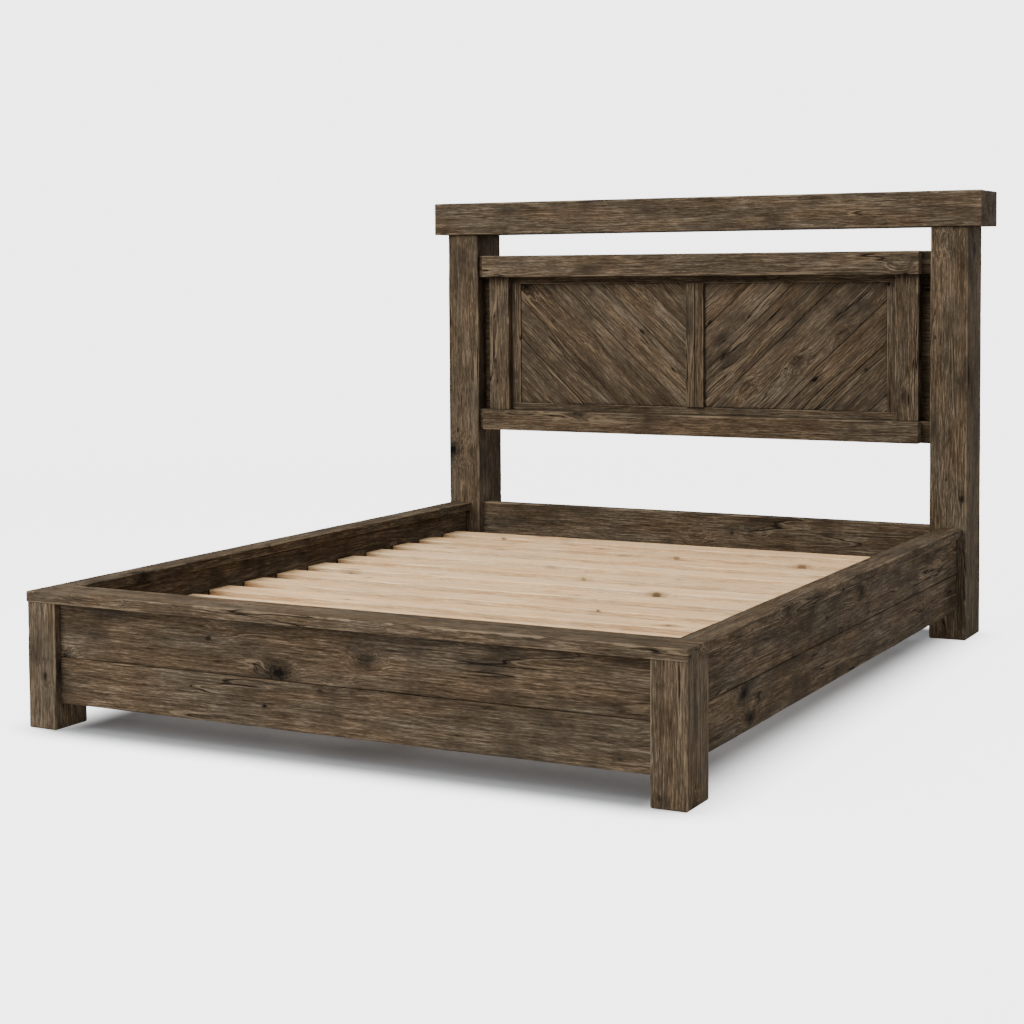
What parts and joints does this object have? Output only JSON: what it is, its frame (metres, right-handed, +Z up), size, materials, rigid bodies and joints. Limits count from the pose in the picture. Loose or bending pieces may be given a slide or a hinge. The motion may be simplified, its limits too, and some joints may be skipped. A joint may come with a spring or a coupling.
{
  "type": "wooden bed frame",
  "caption": "Rustic wooden bed frame with a tall chevron-panelled headboard, low footboard, capped side rails and a slatted deck on a centre beam with levelling feet.",
  "frame": {"origin": "on the floor, at the centre of the frame's overall box", "axes": "+X to the right seen from the foot, +Y from the foot to the headboard, +Z up"},
  "size_m": [1.86, 2.298, 1.351],
  "materials": {
    "weathered_brown_wood": "matte, wire-brushed, worn edges",
    "dark_stained_wood": "matte, dark stain",
    "pale_pine": "planed, unfinished",
    "zinc_steel": "zinc plated",
    "black_plastic": "moulded, fine texture"
  },
  "bodies": {
    "frame": {"head_post_left": "weathered_brown_wood", "head_post_right": "weathered_brown_wood", "top_beam": "weathered_brown_wood", "beam_dowels": "pale_pine", "top_rail_core": "dark_stained_wood", "top_rail_face": "weathered_brown_wood", "bottom_rail_core": "dark_stained_wood", "bottom_rail_face": "weathered_brown_wood", "panel_stile_left": "weathered_brown_wood", "panel_stile_right": "weathered_brown_wood", "muntin_strips": "weathered_brown_wood", "panel_moulding": "weathered_brown_wood", "chevron_boards_left": "weathered_brown_wood", "chevron_boards_right": "weathered_brown_wood", "headboard_back_panel": "dark_stained_wood", "low_head_rail": "weathered_brown_wood", "foot_leg_left": "weathered_brown_wood", "foot_leg_right": "weathered_brown_wood", "foot_cap": "weathered_brown_wood", "foot_board_upper": "weathered_brown_wood", "foot_board_lower": "weathered_brown_wood", "foot_inner_rail": "dark_stained_wood", "side_cap_left": "weathered_brown_wood", "side_cap_right": "weathered_brown_wood", "side_board_upper_left": "weathered_brown_wood", "side_board_upper_right": "weathered_brown_wood", "side_board_lower_left": "weathered_brown_wood", "side_board_lower_right": "weathered_brown_wood", "slat_ledger_left": "pale_pine", "slat_ledger_right": "pale_pine", "rail_hook_plates": "zinc_steel", "post_hook_plates": "zinc_steel", "bracket_screws": "zinc_steel", "deck_screws": "zinc_steel", "centre_beam": "pale_pine", "beam_hangers": "zinc_steel", "centre_leg_1": "pale_pine", "centre_leg_2": "pale_pine", "centre_leg_3": "pale_pine", "leg_plates": "zinc_steel", "tee_nuts": "zinc_steel", "floor_glides": "black_plastic", "slat_01": "pale_pine", "slat_02": "pale_pine", "slat_03": "pale_pine", "slat_04": "pale_pine", "slat_05": "pale_pine", "slat_06": "pale_pine", "slat_07": "pale_pine", "slat_08": "pale_pine", "slat_09": "pale_pine", "slat_10": "pale_pine", "slat_11": "pale_pine", "slat_12": "pale_pine"},
    "pad_1": {"leveller_pad_1": "black_plastic"},
    "stem_1": {"leveller_stem_1": "zinc_steel"},
    "pad_2": {"leveller_pad_2": "black_plastic"},
    "stem_2": {"leveller_stem_2": "zinc_steel"},
    "pad_3": {"leveller_pad_3": "black_plastic"},
    "stem_3": {"leveller_stem_3": "zinc_steel"}
  },
  "joints": [
    {"name": "leveller_1_travel", "type": "slide", "parent": "frame", "child": "pad_1", "axis": [0, 0, 1], "range_m": [-0.008, 0.01]},
    {"name": "leveller_1_turn", "type": "hinge", "parent": "pad_1", "child": "stem_1", "pos_m": [0, -0.5285, 0.02], "axis": [0, 0, 1], "range_deg": [-1920, 2400]},
    {"name": "leveller_2_travel", "type": "slide", "parent": "frame", "child": "pad_2", "axis": [0, 0, 1], "range_m": [-0.008, 0.01]},
    {"name": "leveller_2_turn", "type": "hinge", "parent": "pad_2", "child": "stem_2", "pos_m": [0, -0.026, 0.02], "axis": [0, 0, 1], "range_deg": [-1920, 2400]},
    {"name": "leveller_3_travel", "type": "slide", "parent": "frame", "child": "pad_3", "axis": [0, 0, 1], "range_m": [-0.008, 0.01]},
    {"name": "leveller_3_turn", "type": "hinge", "parent": "pad_3", "child": "stem_3", "pos_m": [0, 0.4765, 0.02], "axis": [0, 0, 1], "range_deg": [-1920, 2400]}
  ],
  "couplings": [
    {"joint": "leveller_1_turn", "follows": "leveller_1_travel", "rad_per_m": 4188.8},
    {"joint": "leveller_2_turn", "follows": "leveller_2_travel", "rad_per_m": 4188.8},
    {"joint": "leveller_3_turn", "follows": "leveller_3_travel", "rad_per_m": 4188.8}
  ]
}
